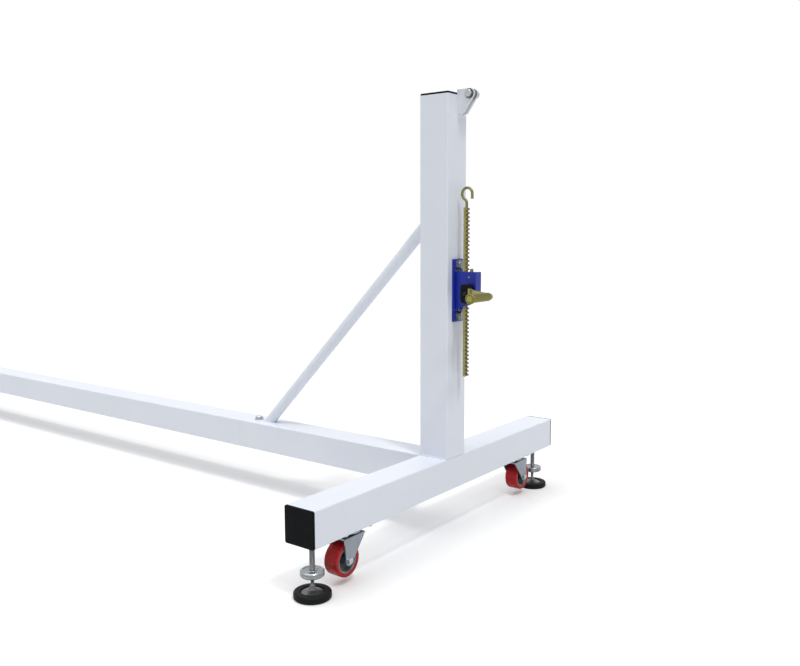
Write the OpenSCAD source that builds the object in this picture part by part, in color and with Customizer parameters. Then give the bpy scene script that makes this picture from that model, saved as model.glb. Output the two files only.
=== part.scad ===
// Free standing tennis net post on a ground frame of square tube.
// X runs along the ground beam, with the net on the -X side and the tensioner on the +X side.
// Y runs along the cross beam, Z is up and the floor is z = 0.
// Each piece is drawn with the post axis at x = y = 0, and place() then moves it so that the
// origin is on the floor under the middle of the whole object.

/* [Frame] */
// Side of the square tube that the post and both beams are made of
tube_w = 80; // [70:1:90]
// Wall of the square tube
tube_wall = 3; // [2:0.5:5]
// Outside corner radius of the square tube
tube_r = 3; // [2:0.5:4]
// Height of the post top above the floor, cap included
post_top = 1072; // [1040:4:1152]
// Gap between the floor and the underside of the beams
ground_gap = 120; // [110:1:135]
// Length of the cross beam over its end caps
cross_len = 1024; // [960:4:1200]
// Thickness of the cap flanges
cap_flange = 4.5; // [2:0.5:8]
// Depth of the cap plugs inside the tube
cap_plug = 18; // [12:1:20]
// Rounding of the cap flange corners
cap_r = 4.5; // [3:0.5:8]

/* [Ground beam] */
// Distance from the post axis to the free end of the ground beam
beam_end = 2560; // [2400:10:3000]
// Distance from the post axis to the seam between the stub and the beam
seam_x = 700; // [680:5:760]
// Width of the hairline seam
seam_gap = 0.4; // [0.2:0.1:1]
// Length of the inner sleeve that joins the stub and the beam
sleeve_len = 240; // [200:10:300]
// Clearance round the sleeve inside the tube
sleeve_clear = 0.3; // [0.2:0.1:0.8]
// Wall of the sleeve
sleeve_wall = 3; // [2:0.5:4]
// Distance from a joint seam to its bolt
joint_bolt_back = 45; // [35:1:60]

/* [Brace] */
// Diameter of the round brace tube
brace_d = 30; // [25:1:36]
// Wall of the brace tube
brace_wall = 2; // [1.5:0.5:4]
// Distance from the post axis to the brace axis on the beam top
brace_foot_x = 610; // [560:5:640]
// Height of the brace axis on the post face, above the beam top
brace_rise = 574; // [500:2:620]

/* [Levelling feet] */
// Distance of the outer feet from the ends of the cross beam
foot_back = 37; // [36:1:50]
// Distance of the third foot from the free end of the ground beam
foot_tie_back = 180; // [175:5:300]
// Diameter of the foot thread
stem_d = 12; // [10:1:14]
// Height of the stem top above the floor
stem_top = 163; // [160:1:165]
// Diameter of the hand disc
disc_d = 51; // [40:1:60]
// Thickness of the hand disc
disc_t = 13; // [8:1:14]
// Height of the underside of the hand disc
disc_z = 47; // [42:1:50]
// Diameter of the rubber pad
pad_d = 80; // [70:1:90]
// Height of the rubber pad
pad_h = 15; // [13:0.5:17]
// Diameter of the metal cup on the pad
cup_d = 49; // [38:1:50]
// Diameter of the stem neck above the ball
neck_d = 7.6; // [7:0.1:7.8]
// Diameter of the ball at the stem foot
ball_d = 10.5; // [10:0.1:11]
// Radial play of turning and sliding fits
fit = 0.05; // [0.03:0.01:0.09]

/* [Casters] */
// Distance of the caster swivel axes from the ends of the cross beam
caster_back = 156; // [150:1:200]
// Distance from the swivel axis to the wheel axle
caster_trail = 27; // [22:1:28]
// Height of the wheel axle
axle_z = 54; // [50:0.5:56]
// Diameter of the wheel
wheel_d = 75; // [68:1:76]
// Width of the wheel tread
wheel_w = 36; // [30:1:37]
// Diameter of the wheel hub under the tread
hub_d = 57; // [50:1:60]
// Gap between the fork cheeks
fork_gap = 40; // [39.5:0.5:44]
// Sheet thickness of the fork and the top plate
fork_t = 3; // [2:0.5:3.5]
// Length of the fork crown behind the swivel axis, on the wheel's side
fork_back = 42; // [38:1:44]
// Length of the fork crown ahead of the swivel axis
fork_front = 26; // [24:1:32]
// Radius of the fork cheeks round the axle
cheek_r = 11; // [9:0.5:12]
// Height of the swivel race under the top plate
race_h = 12; // [9:0.5:13]
// Diameter of the wheel axle bolt
axle_d = 8; // [6:0.5:10]
// Length of the caster top plate
plate_len = 102; // [98:1:110]
// Width of the caster top plate
plate_w = 65; // [60:1:70]
// Hole spacing along the caster top plate
plate_hole_y = 80; // [76:1:84]
// Hole spacing across the caster top plate
plate_hole_x = 45; // [42:1:50]
// Diameter of the caster mounting bolts
caster_bolt_d = 8; // [6:0.5:8]

/* [Top bracket] */
// Middle of the bracket, measured across the post face
bracket_y = 8.5; // [0:0.5:12]
// Thickness of the bracket ears
ear_t = 4.5; // [3:0.5:6]
// Gap between the ears
ear_gap = 12; // [11:0.5:18]
// Distance of the pulley axis from the post face
pulley_out = 34; // [30:1:40]
// Height of the pulley axis below the post top
pulley_drop = 5; // [2:1:8]
// Radius of the round ear ends
ear_r = 12; // [11:0.5:14]
// Height of the bracket foot on the post face
bracket_h = 60; // [56:1:80]
// Outer diameter of the pulley
pulley_d = 23; // [20:1:24]
// Diameter of the cable that the pulley groove takes
cable_d = 5; // [4:0.5:6]
// Diameter of the pulley bolt
pulley_bolt_d = 10; // [8:1:10]

/* [Tensioner] */
// Height of the tensioner plate centre above the floor
plate_mid = 610; // [600:1:640]
// Height of the tensioner plate
tplate_h = 150; // [145:1:170]
// Width of the tensioner plate
tplate_w = 40; // [36:1:56]
// Thickness of the tensioner plate
tplate_t = 5; // [4:0.5:8]
// Spacing of the two plate bolts
tbolt_gap = 122; // [120:1:124]
// Diameter of the plate bolts and of the beam joint bolt
bolt_d = 12; // [10:1:12]
// Outside width of the tensioner housing
house_w = 24; // [24:1:28]
// Sheet thickness of the housing
house_t = 3; // [2:0.5:3]
// Distance from the post face to the front of the housing
house_out = 61; // [60:0.5:66]
// Height of the housing top above the plate centre
house_up = 45; // [42:1:48]
// Height of the housing front wall
house_front = 66; // [60:1:70]
// Rise of the sloped housing underside from the plate to the front wall
house_slope = 26; // [10:1:30]
// Height of the pinion axis below the plate centre
shaft_down = 5.5; // [3:0.5:6]

/* [Rack and pinion] */
// Module of the teeth
tooth_m = 3; // [2.9:0.05:3.05]
// Number of pinion teeth
pinion_n = 8; // [8:8:8]
// Number of rack teeth each side of the pinion axis at rest
rack_half = 21; // [17:1:25]
// Height of the teeth above the pitch line
tooth_add = 1.9; // [1.4:0.1:2]
// Depth of the teeth below the pitch line
tooth_ded = 2.4; // [2.3:0.1:2.8]
// Pressure angle of the teeth
tooth_pa = 25; // [22:1:26]
// Play taken off each tooth flank
tooth_play = 0.18; // [0.15:0.01:0.3]
// Distance from the post face to the back of the rack
rack_out = 22.5; // [21:0.5:24]
// Depth of the rack bar from its back to the tooth tips
rack_t = 9.9; // [9:0.1:11]
// Width of the rack bar
rack_w = 12; // [10:0.5:12]
// Plain length of the rack bar beyond the last tooth centre
rack_plain = 3.6; // [3.6:0.1:12]
// Diameter of the pinion shaft
shaft_d = 14; // [12:0.5:15]

/* [Hook] */
// Diameter of the hook wire
wire_d = 6.5; // [5:0.5:7]
// Radius of the hook loop at the wire centre
loop_r = 14; // [12:0.5:16]
// Height of the loop centre above the rack top
loop_up = 32; // [30:0.5:40]
// Distance of the loop centre from the stem line
loop_side = 1; // [0:0.5:4]
// Straight length of the hook stem
hook_stem = 10; // [6:0.5:12]
// Straight length at the open end of the hook
hook_tail = 12; // [4:1:14]

/* [Crank] */
// Distance from the pinion axis to the grip axis
crank_r = 76.2; // [70:0.1:85]
// Angle of the crank below the horizontal at rest
crank_dip = 1.5; // [0:0.1:12]
// Width of the crank arm at the hub
arm_root_w = 27; // [26:0.5:33]
// Width of the crank arm at the grip
arm_tip_w = 14.5; // [12:0.5:16]
// Thickness of the crank arm
arm_t = 6; // [5:0.5:8]
// Distance from the housing side to the back of the hub
hub_gap = 2; // [1:0.5:4]
// Thickness of the crank hub block
hub_t = 16; // [14:0.5:18]
// Width of the crank hub block
hub_w = 24; // [20:0.5:26]
// Height of the crank hub block
hub_h = 44; // [38:1:46]
// Corner radius of the crank hub block
hub_r = 8; // [3:0.5:9]
// Distance from the shaft axis to the edge of the hub cover, where the arm comes out
cover_x = 8.3; // [8:0.1:9]
// Clearance between the turning arm and the side of the post
arm_clear = 1.5; // [1:0.5:6]
// Length of the grip
grip_len = 82; // [70:1:110]
// Diameter of the grip at its flared outer end
grip_d = 24; // [21:0.5:26]
// Diameter of the grip's body
grip_body_d = 19.4; // [18:0.2:21]
// Diameter of the grip pin
grip_pin_d = 9; // [8:0.5:11]

/* [Locking plunger] */
// Diameter of the plunger
plunger_d = 8; // [6:0.5:8]
// Height of the plunger top above the housing
peg_h = 7.5; // [7:0.5:12]
// Diameter of the cross pin that holds the plunger
cross_pin_d = 3; // [2:0.5:3]

/* [Hidden] */
$fn = 64;
eps = 0.01;

beam_bot = ground_gap;
beam_top = ground_gap + tube_w;
beam_mid = ground_gap + tube_w / 2;
half_w = tube_w / 2;
inner_w = tube_w - 2 * tube_wall;
cross_half = cross_len / 2 - cap_flange;
foot_y = cross_len / 2 - foot_back;
caster_y = cross_len / 2 - caster_back;
sleeve_w = inner_w - 2 * sleeve_clear;
joint_x = -(seam_x - joint_bolt_back);
foot_tie_x = -(beam_end - foot_tie_back);

// fasteners, from their thread diameter
function hex_af(d) = d * 1.6;
function head_h(d) = d * 0.62;
function nut_h(d) = d * 0.8;
washer_t = 2.5;
pulley_washer_t = 2;
bolt_play = 0.4;
weld_nut_h = 16;

// brace direction and length, from its two end points on the beam and the post
brace_run = brace_foot_x - half_w;
brace_len = sqrt(brace_run * brace_run + brace_rise * brace_rise);
brace_ang = atan2(brace_run, brace_rise);
brace_spare = brace_d * 1.5;

// levelling foot
cup_z = pad_h - 4;
ball_z = cup_z + 8;
disc_groove = 1.2;

// caster
plate_z = ground_gap - fork_t;
race_d = 48;
swivel_gap = 0.4;
crown_top = plate_z - race_h - swivel_gap;
king_d = 10;
boss_w = fork_gap - 1;

// top bracket
pulley_x = half_w + pulley_out;
pulley_z = post_top - pulley_drop;
bracket_bot = pulley_z + ear_r - bracket_h;
pulley_w = ear_gap - 1;
bush_d = pulley_bolt_d + 4;

// rack and pinion
pitch = PI * tooth_m;
pitch_r = tooth_m * pinion_n / 2;
rack_x0 = half_w + rack_out;
rack_x1 = rack_x0 + rack_t;
pitch_x = rack_x1 - tooth_add;
shaft_x = pitch_x + pitch_r;
shaft_z = plate_mid - shaft_down;
pinion_tip = pitch_r + tooth_add;
pinion_root = pitch_r - tooth_ded;
pinion_w = rack_w;
rack_top = shaft_z + rack_half * pitch + rack_plain;
rack_bot = shaft_z - rack_half * pitch - rack_plain;
stem_x = (rack_x0 + rack_x1) / 2;

// housing
house_x0 = half_w + tplate_t;
house_x1 = half_w + house_out;
house_top = plate_mid + house_up;
house_in = house_w / 2 - house_t;
guide_t = house_in - rack_w / 2 - fit;
guide_h = house_front * 0.75;

// crank
side_y = house_w / 2;
hub_y0 = side_y + hub_gap;
hub_y1 = hub_y0 + hub_t;
// space left in the hub past the shaft's end
bore_gap = 0.3;
arm_in = hub_y1 - arm_t;
screw_d = 6;
screw_in = 15;
arm_out = half_w + arm_clear;
arm_free = shaft_x - half_w;
grip_y0 = arm_out + arm_t + 0.5;
grip_x = shaft_x + crank_r * cos(crank_dip);
grip_z = shaft_z - crank_r * sin(crank_dip);

// plunger, whose tip rests just clear of the pinion
plunger_tip = shaft_z + pinion_tip + 0.7;
plunger_drop = 4;
cross_z = house_top - 12.2;

// hook, whose neck bends away and then meets the loop along one line
hook_in = wire_d * 2.2;
loop_x = stem_x + loop_side;
loop_z = rack_top + loop_up;
neck_z = rack_top + hook_stem;
neck_dz = loop_z - neck_z;
neck_r = (loop_side * loop_side + neck_dz * neck_dz - loop_r * loop_r) / (2 * (loop_r - loop_side));
neck_ang = atan2(neck_dz, loop_side + neck_r);

// distance from the post axis to the middle of the whole object, where the origin goes
origin_x = (grip_x + grip_d / 2 - beam_end) / 2;
module place() { translate([-origin_x, 0, 0]) children(); }

// shared shapes

// square with round corners, kept as true arcs
module round_square(w, r) {
    union() {
        square([w - 2 * r, w], center = true);
        square([w, w - 2 * r], center = true);
        for (sx = [-1, 1]) for (sy = [-1, 1])
            translate([sx * (w / 2 - r), sy * (w / 2 - r)]) circle(r = r);
    }
}

module tube_profile(w, wall, r) {
    difference() {
        round_square(w, r);
        round_square(w - 2 * wall, max(r - wall, 0.6));
    }
}

// square tube along Z
module square_tube(len, w, wall, r) {
    linear_extrude(height = len) tube_profile(w, wall, r);
}

// plastic insert cap: flange with a raised middle and a ribbed hollow plug, plug pointing down
module insert_cap() {
    pw = inner_w - 0.6;
    difference() {
        union() {
            linear_extrude(height = cap_flange - 0.5) round_square(tube_w, cap_r);
            translate([0, 0, cap_flange - 0.5 - eps])
                linear_extrude(height = 0.5 + eps) round_square(tube_w - 1, cap_r - 0.5);
            translate([0, 0, -cap_plug]) linear_extrude(height = cap_plug + eps)
                tube_profile(pw - 1.6, 2.5, 2);
            for (k = [1:3]) translate([0, 0, -k * cap_plug / 4 - 0.8])
                linear_extrude(height = 1.6) tube_profile(pw, 3.2, 2);
        }
    }
}

// hex head bolt along +Z, head below z = 0 and shank above
module hex_bolt(d, len) {
    h = head_h(d);
    union() {
        intersection() {
            translate([0, 0, -h]) cylinder(d = hex_af(d) / cos(30), h = h, $fn = 6);
            translate([0, 0, -h]) rotate_extrude()
                polygon([[0, 0], [hex_af(d) / 2 * 0.96, 0], [hex_af(d) / 2 * 1.16, h * 0.28],
                    [hex_af(d) / 2 * 1.16, h], [0, h]]);
        }
        translate([0, 0, -eps]) cylinder(d = d, h = len - d * 0.08 + eps);
        translate([0, 0, len - d * 0.08]) cylinder(d1 = d, d2 = d * 0.84, h = d * 0.08);
    }
}

module hex_nut(d, h, play) {
    difference() {
        intersection() {
            cylinder(d = hex_af(d) / cos(30), h = h, $fn = 6);
            rotate_extrude() polygon([[0, 0], [hex_af(d) / 2 * 0.98, 0],
                [hex_af(d) / 2 * 1.16, h * 0.14], [hex_af(d) / 2 * 1.16, h * 0.86],
                [hex_af(d) / 2 * 0.98, h], [0, h]]);
        }
        translate([0, 0, -1]) cylinder(d = d + 2 * play, h = h + 2);
    }
}

module washer(d, od, t) {
    difference() {
        cylinder(d = od, h = t);
        translate([0, 0, -1]) cylinder(d = d + bolt_play, h = t + 2);
    }
}

// frame

module post_tube() {
    color("white") difference() {
        translate([0, 0, beam_top])
            square_tube(post_top - cap_flange - beam_top, tube_w, tube_wall, tube_r);
        for (s = [-1, 1]) translate([0, 0, plate_mid + s * tbolt_gap / 2])
            rotate([0, 90, 0]) cylinder(d = bolt_d + bolt_play, h = tube_w);
    }
}

module post_cap() {
    color([0.1, 0.1, 0.11]) translate([0, 0, post_top - cap_flange]) insert_cap();
}

module cross_beam() {
    color("white") difference() {
        translate([0, -cross_half, beam_mid]) rotate([-90, 0, 0])
            square_tube(2 * cross_half, tube_w, tube_wall, tube_r);
        for (s = [-1, 1]) {
            translate([0, s * foot_y, beam_bot - 1]) cylinder(d = stem_d + 1, h = tube_wall + 2);
            translate([0, s * caster_y, beam_bot - 1])
                cylinder(d = king_d + 6, h = tube_wall + 2);
            for (sx = [-1, 1]) for (sy = [-1, 1])
                translate([sx * plate_hole_x / 2, s * caster_y + sy * plate_hole_y / 2,
                    beam_bot - 1]) cylinder(d = caster_bolt_d + bolt_play, h = tube_wall + 2);
        }
    }
}

module cross_caps() {
    color([0.1, 0.1, 0.11]) for (s = [-1, 1])
        translate([0, s * cross_half, beam_mid]) rotate([-90 * s, 0, 0]) insert_cap();
}

module beam_stub() {
    color("white") difference() {
        translate([-seam_x + seam_gap / 2, 0, beam_mid]) rotate([0, 90, 0])
            square_tube(seam_x - seam_gap / 2 - half_w, tube_w, tube_wall, tube_r);
        translate([joint_x, 0, beam_top - tube_wall - 1])
            cylinder(d = bolt_d + bolt_play, h = tube_wall + 2);
    }
}

module tie_beam() {
    color("white") difference() {
        translate([-beam_end, 0, beam_mid]) rotate([0, 90, 0])
            square_tube(beam_end - seam_x - seam_gap / 2, tube_w, tube_wall, tube_r);
        translate([-beam_end + joint_bolt_back, 0, beam_top - tube_wall - 1])
            cylinder(d = bolt_d + bolt_play, h = tube_wall + 2);
        translate([foot_tie_x, 0, beam_bot - 1]) cylinder(d = stem_d + 1, h = tube_wall + 2);
    }
}

module joint_sleeve() {
    color([0.55, 0.57, 0.6]) difference() {
        translate([-seam_x - sleeve_len / 2, 0, beam_mid]) rotate([0, 90, 0])
            square_tube(sleeve_len, sleeve_w, sleeve_wall, max(tube_r - tube_wall, 1.5));
        translate([joint_x, 0, beam_mid]) cylinder(d = bolt_d + bolt_play, h = tube_w / 2);
    }
}

module joint_bolt() {
    color([0.72, 0.73, 0.75]) translate([joint_x, 0, beam_top + washer_t])
        rotate([180, 0, 0]) hex_bolt(bolt_d, 30);
}

module joint_washer() {
    color([0.72, 0.73, 0.75]) translate([joint_x, 0, beam_top])
        washer(bolt_d, bolt_d * 2.25, washer_t);
}

// threaded blocks welded inside the tubes, for the feet, the joint bolt and the tensioner plate
module weld_nuts() {
    color([0.6, 0.62, 0.65]) {
        for (s = [-1, 1]) translate([0, s * foot_y, beam_bot + tube_wall])
            hex_nut(stem_d, weld_nut_h, fit);
        translate([foot_tie_x, 0, beam_bot + tube_wall]) hex_nut(stem_d, weld_nut_h, fit);
        translate([joint_x, 0, beam_mid + sleeve_w / 2 - sleeve_wall - nut_h(bolt_d)])
            hex_nut(bolt_d, nut_h(bolt_d), fit);
        for (s = [-1, 1])
            translate([half_w - tube_wall, 0, plate_mid + s * tbolt_gap / 2])
                rotate([0, -90, 0]) hex_nut(bolt_d, nut_h(bolt_d), fit);
    }
}

// round brace, cut square to the beam top and to the post face
module brace_tube() {
    color("white") difference() {
        translate([-brace_foot_x, 0, beam_top]) rotate([0, brace_ang, 0])
            translate([0, 0, -brace_spare]) difference() {
                cylinder(d = brace_d, h = brace_len + 2 * brace_spare);
                translate([0, 0, -1]) cylinder(d = brace_d - 2 * brace_wall,
                    h = brace_len + 2 * brace_spare + 2);
            }
        translate([-brace_foot_x - 2 * brace_spare, -brace_spare, beam_top - 2 * brace_spare])
            cube([4 * brace_spare, 2 * brace_spare, 2 * brace_spare]);
        translate([-half_w, -brace_spare, beam_top + brace_rise - 2 * brace_spare])
            cube([2 * brace_spare, 2 * brace_spare, 4 * brace_spare]);
    }
}

// levelling feet

// each foot is drawn round its own axis
module foot_stem_shape() {
    rotate_extrude() union() {
        polygon([[0, ball_z + 2], [neck_d / 2, ball_z + 2], [neck_d / 2, disc_z - 8],
            [stem_d / 2, disc_z - 6], [stem_d / 2, stem_top - 1.5], [stem_d / 2 - 1.5, stem_top],
            [0, stem_top]]);
        intersection() {
            translate([0, ball_z]) circle(d = ball_d);
            translate([0, ball_z - ball_d / 2 + 1]) square([ball_d, ball_d]);
        }
    }
}

// hand disc with grip flats round a shallow waist, and a boss below
module foot_disc_shape() {
    difference() {
        union() {
            rotate_extrude() polygon([[stem_d / 2, disc_z], [disc_d / 2 - 2, disc_z],
                [disc_d / 2, disc_z + 2], [disc_d / 2, disc_z + disc_t / 2 - 1.6],
                [disc_d / 2 - disc_groove, disc_z + disc_t / 2 - 0.8],
                [disc_d / 2 - disc_groove, disc_z + disc_t / 2 + 0.8],
                [disc_d / 2, disc_z + disc_t / 2 + 1.6], [disc_d / 2, disc_z + disc_t - 2],
                [disc_d / 2 - 2, disc_z + disc_t], [disc_d / 2 - 6, disc_z + disc_t],
                [disc_d / 2 - 7, disc_z + disc_t - 1], [stem_d / 2 + 5, disc_z + disc_t - 1],
                [stem_d / 2 + 4, disc_z + disc_t], [stem_d / 2, disc_z + disc_t]]);
            translate([0, 0, disc_z - 4]) difference() {
                cylinder(d = stem_d + 6, h = 4 + eps);
                translate([0, 0, -1]) cylinder(d = stem_d, h = 6);
            }
        }
    }
}

// pressed cup with a collar that closes over the ball
module foot_cup_shape() {
    difference() {
        rotate_extrude() polygon([[0, cup_z], [cup_d / 2, cup_z], [cup_d / 2, cup_z + 1.6],
            [cup_d / 2 - 5, cup_z + 3.4], [cup_d / 2 - 10, cup_z + 5.2],
            [ball_d / 2 + 3.4, cup_z + 7], [ball_d / 2 + 2, cup_z + 8.8],
            [ball_d / 2 + 1.7, cup_z + 11], [neck_d / 2 + 1.8, cup_z + 14.5],
            [0, cup_z + 14.5]]);
        translate([0, 0, ball_z]) sphere(d = ball_d + 2 * fit);
        translate([0, 0, ball_z]) cylinder(d = neck_d + 1.2, h = 20);
        translate([0, 0, cup_z - 1]) cylinder(d = ball_d - 2, h = ball_z - cup_z - 3);
    }
}

module foot_pad_shape() {
    difference() {
        rotate_extrude() union() {
            polygon([[0, 0], [pad_d / 2 - 3, 0], [pad_d / 2, 3], [pad_d / 2, pad_h - 4],
                [pad_d / 2 - 4, pad_h], [0, pad_h]]);
            translate([pad_d / 2 - 4, pad_h - 4]) circle(r = 4);
        }
        translate([0, 0, cup_z]) cylinder(d = cup_d + 0.4, h = 20);
        for (k = [1:2]) rotate_extrude() translate([pad_d / 2 - 9 - 8 * k, -eps])
            polygon([[0, 0], [3, 0], [2, 1.5], [1, 1.5]]);
    }
}

module at_near() { translate([0, -foot_y, 0]) children(); }
module at_far() { translate([0, foot_y, 0]) children(); }
module at_tie() { translate([foot_tie_x, 0, 0]) children(); }

module foot_stem_near() { color([0.62, 0.65, 0.68]) at_near() foot_stem_shape(); }
module foot_disc_near() { color([0.55, 0.57, 0.6]) at_near() foot_disc_shape(); }
module foot_cup_near() { color([0.5, 0.52, 0.54]) at_near() foot_cup_shape(); }
module foot_pad_near() { color([0.12, 0.12, 0.13]) at_near() foot_pad_shape(); }
module foot_stem_far() { color([0.62, 0.65, 0.68]) at_far() foot_stem_shape(); }
module foot_disc_far() { color([0.55, 0.57, 0.6]) at_far() foot_disc_shape(); }
module foot_cup_far() { color([0.5, 0.52, 0.54]) at_far() foot_cup_shape(); }
module foot_pad_far() { color([0.12, 0.12, 0.13]) at_far() foot_pad_shape(); }
module foot_stem_tie() { color([0.62, 0.65, 0.68]) at_tie() foot_stem_shape(); }
module foot_disc_tie() { color([0.55, 0.57, 0.6]) at_tie() foot_disc_shape(); }
module foot_cup_tie() { color([0.5, 0.52, 0.54]) at_tie() foot_cup_shape(); }
module foot_pad_tie() { color([0.12, 0.12, 0.13]) at_tie() foot_pad_shape(); }

// casters

// a caster is drawn at the near end, with its wheel trailing away from the post
module at_caster(s) {
    if (s < 0) translate([0, -caster_y, 0]) children();
    else mirror([0, 1, 0]) translate([0, -caster_y, 0]) children();
}

// top plate with the pressed upper race of the swivel
module caster_plates() {
    color([0.6, 0.63, 0.66]) for (s = [-1, 1]) at_caster(s) difference() {
        union() {
            translate([0, 0, plate_z]) linear_extrude(height = fork_t) union() {
                square([plate_w - 12, plate_len], center = true);
                square([plate_w, plate_len - 12], center = true);
                for (sx = [-1, 1]) for (sy = [-1, 1])
                    translate([sx * (plate_w / 2 - 6), sy * (plate_len / 2 - 6)]) circle(r = 6);
            }
            translate([0, 0, plate_z - race_h]) rotate_extrude()
                polygon([[0, 0], [race_d / 2 - 3, 0], [race_d / 2, 3],
                    [race_d / 2, race_h - 2], [race_d / 2 - 4, race_h + eps],
                    [0, race_h + eps]]);
        }
        for (sx = [-1, 1]) for (sy = [-1, 1])
            translate([sx * plate_hole_x / 2, sy * plate_hole_y / 2, plate_z - 1])
                cylinder(d = caster_bolt_d + bolt_play, h = fork_t + 2);
        translate([0, 0, plate_z - race_h - 1]) cylinder(d = king_d, h = race_h + fork_t + 2);
    }
}

module caster_kingpins() {
    color([0.55, 0.57, 0.6]) for (s = [-1, 1]) at_caster(s) union() {
        translate([0, 0, crown_top - fork_t - swivel_gap - 3]) cylinder(d = king_d + 7, h = 3);
        translate([0, 0, crown_top - fork_t - swivel_gap - 0.5])
            cylinder(d = king_d, h = plate_z + fork_t - crown_top + fork_t + swivel_gap + 0.5);
        translate([0, 0, plate_z + fork_t - eps])
            cylinder(d1 = king_d, d2 = king_d + 4, h = tube_wall - 0.5);
    }
}

module caster_bolts() {
    color([0.72, 0.73, 0.75]) for (s = [-1, 1]) at_caster(s)
        for (sx = [-1, 1]) for (sy = [-1, 1])
            translate([sx * plate_hole_x / 2, sy * plate_hole_y / 2, plate_z])
                hex_bolt(caster_bolt_d, 16);
}

// side view of a fork cheek, with y first and z second, tangent to the round axle end
module cheek_profile() {
    dy = fork_front + caster_trail;
    dz = crown_top - axle_z;
    dist = sqrt(dy * dy + dz * dz);
    a = atan2(dz, dy) - acos(cheek_r / dist);
    union() {
        translate([-caster_trail, axle_z]) circle(r = cheek_r);
        polygon([[-fork_back, crown_top], [fork_front, crown_top],
            [-caster_trail + cheek_r * cos(a), axle_z + cheek_r * sin(a)],
            [-caster_trail, axle_z], [-caster_trail - cheek_r, axle_z]]);
    }
}

module fork_shape() {
    w = fork_gap + 2 * fork_t;
    difference() {
        union() {
            for (s = [-1, 1]) translate([s * (w - fork_t) / 2 - fork_t / 2, 0, 0])
                rotate([90, 0, 90]) linear_extrude(height = fork_t) cheek_profile();
            translate([-w / 2, -fork_back, crown_top - fork_t])
                cube([w, fork_back + fork_front, fork_t]);
        }
        translate([0, 0, crown_top - fork_t - 1]) cylinder(d = king_d + 2 * fit, h = fork_t + 2);
        translate([-w, -caster_trail, axle_z]) rotate([0, 90, 0])
            cylinder(d = axle_d + bolt_play, h = 2 * w);
    }
}

module on_axle() { translate([0, -caster_trail, axle_z]) rotate([0, 90, 0]) children(); }

// moulded tread, crowned, gripping the hub rim
module tread_shape() {
    r = wheel_d / 2;
    h = wheel_w / 2;
    on_axle() rotate_extrude() polygon([[hub_d / 2, -h + 1.5], [hub_d / 2 + 1.5, -h],
        [r - 2.6, -h], [r - 1.3, -h + 0.4], [r - 0.5, -h + 1.3], [r - 0.2, -h + 2.8],
        [r, -h + 7], [r, h - 7], [r - 0.2, h - 2.8], [r - 0.5, h - 1.3], [r - 1.3, h - 0.4],
        [r - 2.6, h], [hub_d / 2 + 1.5, h],
        [hub_d / 2, h - 1.5]]);
}

// wheel hub with a rim, a dished web and a long boss
module hub_shape() {
    h = wheel_w / 2;
    r = hub_d / 2;
    on_axle() difference() {
        rotate_extrude() polygon([[0, -boss_w / 2], [8, -boss_w / 2], [10, -boss_w / 2 + 3],
            [11.5, -4], [r - 5, -3.5], [r - 3, -h + 2], [r - 1, -h + 1], [r, -h + 1.5],
            [r, h - 1.5], [r - 1, h - 1], [r - 3, h - 2], [r - 5, 3.5], [11.5, 4],
            [10, boss_w / 2 - 3], [8, boss_w / 2], [0, boss_w / 2]]);
        translate([0, 0, -boss_w]) cylinder(d = axle_d + 2 * fit, h = 2 * boss_w);
    }
}

module axle_shape() {
    w = fork_gap / 2 + fork_t;
    translate([w, -caster_trail, axle_z]) rotate([0, -90, 0])
        hex_bolt(axle_d, 2 * w + nut_h(axle_d) + 2);
}

module axle_nut_shape() {
    w = fork_gap / 2 + fork_t;
    translate([-w, -caster_trail, axle_z]) rotate([0, -90, 0])
        hex_nut(axle_d, nut_h(axle_d), fit);
}

module fork_near() { color([0.62, 0.65, 0.69]) at_caster(-1) fork_shape(); }
module tread_near() { color([0.75, 0.12, 0.13]) at_caster(-1) tread_shape(); }
module hub_near() { color([0.7, 0.72, 0.72]) at_caster(-1) hub_shape(); }
module axle_near() { color([0.72, 0.73, 0.75]) at_caster(-1) axle_shape(); }
module axle_nut_near() { color([0.72, 0.73, 0.75]) at_caster(-1) axle_nut_shape(); }
module fork_far() { color([0.62, 0.65, 0.69]) at_caster(1) fork_shape(); }
module tread_far() { color([0.75, 0.12, 0.13]) at_caster(1) tread_shape(); }
module hub_far() { color([0.7, 0.72, 0.72]) at_caster(1) hub_shape(); }
module axle_far() { color([0.72, 0.73, 0.75]) at_caster(1) axle_shape(); }
module axle_nut_far() { color([0.72, 0.73, 0.75]) at_caster(1) axle_nut_shape(); }

// top bracket and pulley

// drawn round the pulley axis with its own axis along Y
module on_pulley() {
    translate([pulley_x, bracket_y, pulley_z]) rotate([90, 0, 0]) children();
}

// ear outline seen from the side: flat top, round end and a slanted underside
module ear_profile() {
    px = -pulley_out + 17;
    py = ear_r - bracket_h + 5;
    dist = sqrt(px * px + py * py);
    a = atan2(py, px) + acos(ear_r / dist);
    union() {
        circle(r = ear_r);
        polygon([[-pulley_out, ear_r], [0, ear_r], [0, 0], [ear_r * cos(a), ear_r * sin(a)],
            [px, py], [-pulley_out, ear_r - bracket_h]]);
    }
}

module pulley_bracket() {
    color("white") difference() {
        union() {
            for (s = [-1, 1]) on_pulley()
                translate([0, 0, s * (ear_gap + ear_t) / 2 - ear_t / 2])
                    linear_extrude(height = ear_t) ear_profile();
            translate([half_w, bracket_y - ear_gap / 2 - ear_t, bracket_bot])
                cube([ear_t, ear_gap + 2 * ear_t, bracket_h - ear_r - pulley_drop - cap_flange]);
        }
        on_pulley() translate([0, 0, -30]) cylinder(d = pulley_bolt_d + 2 * fit, h = 60);
    }
}

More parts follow.
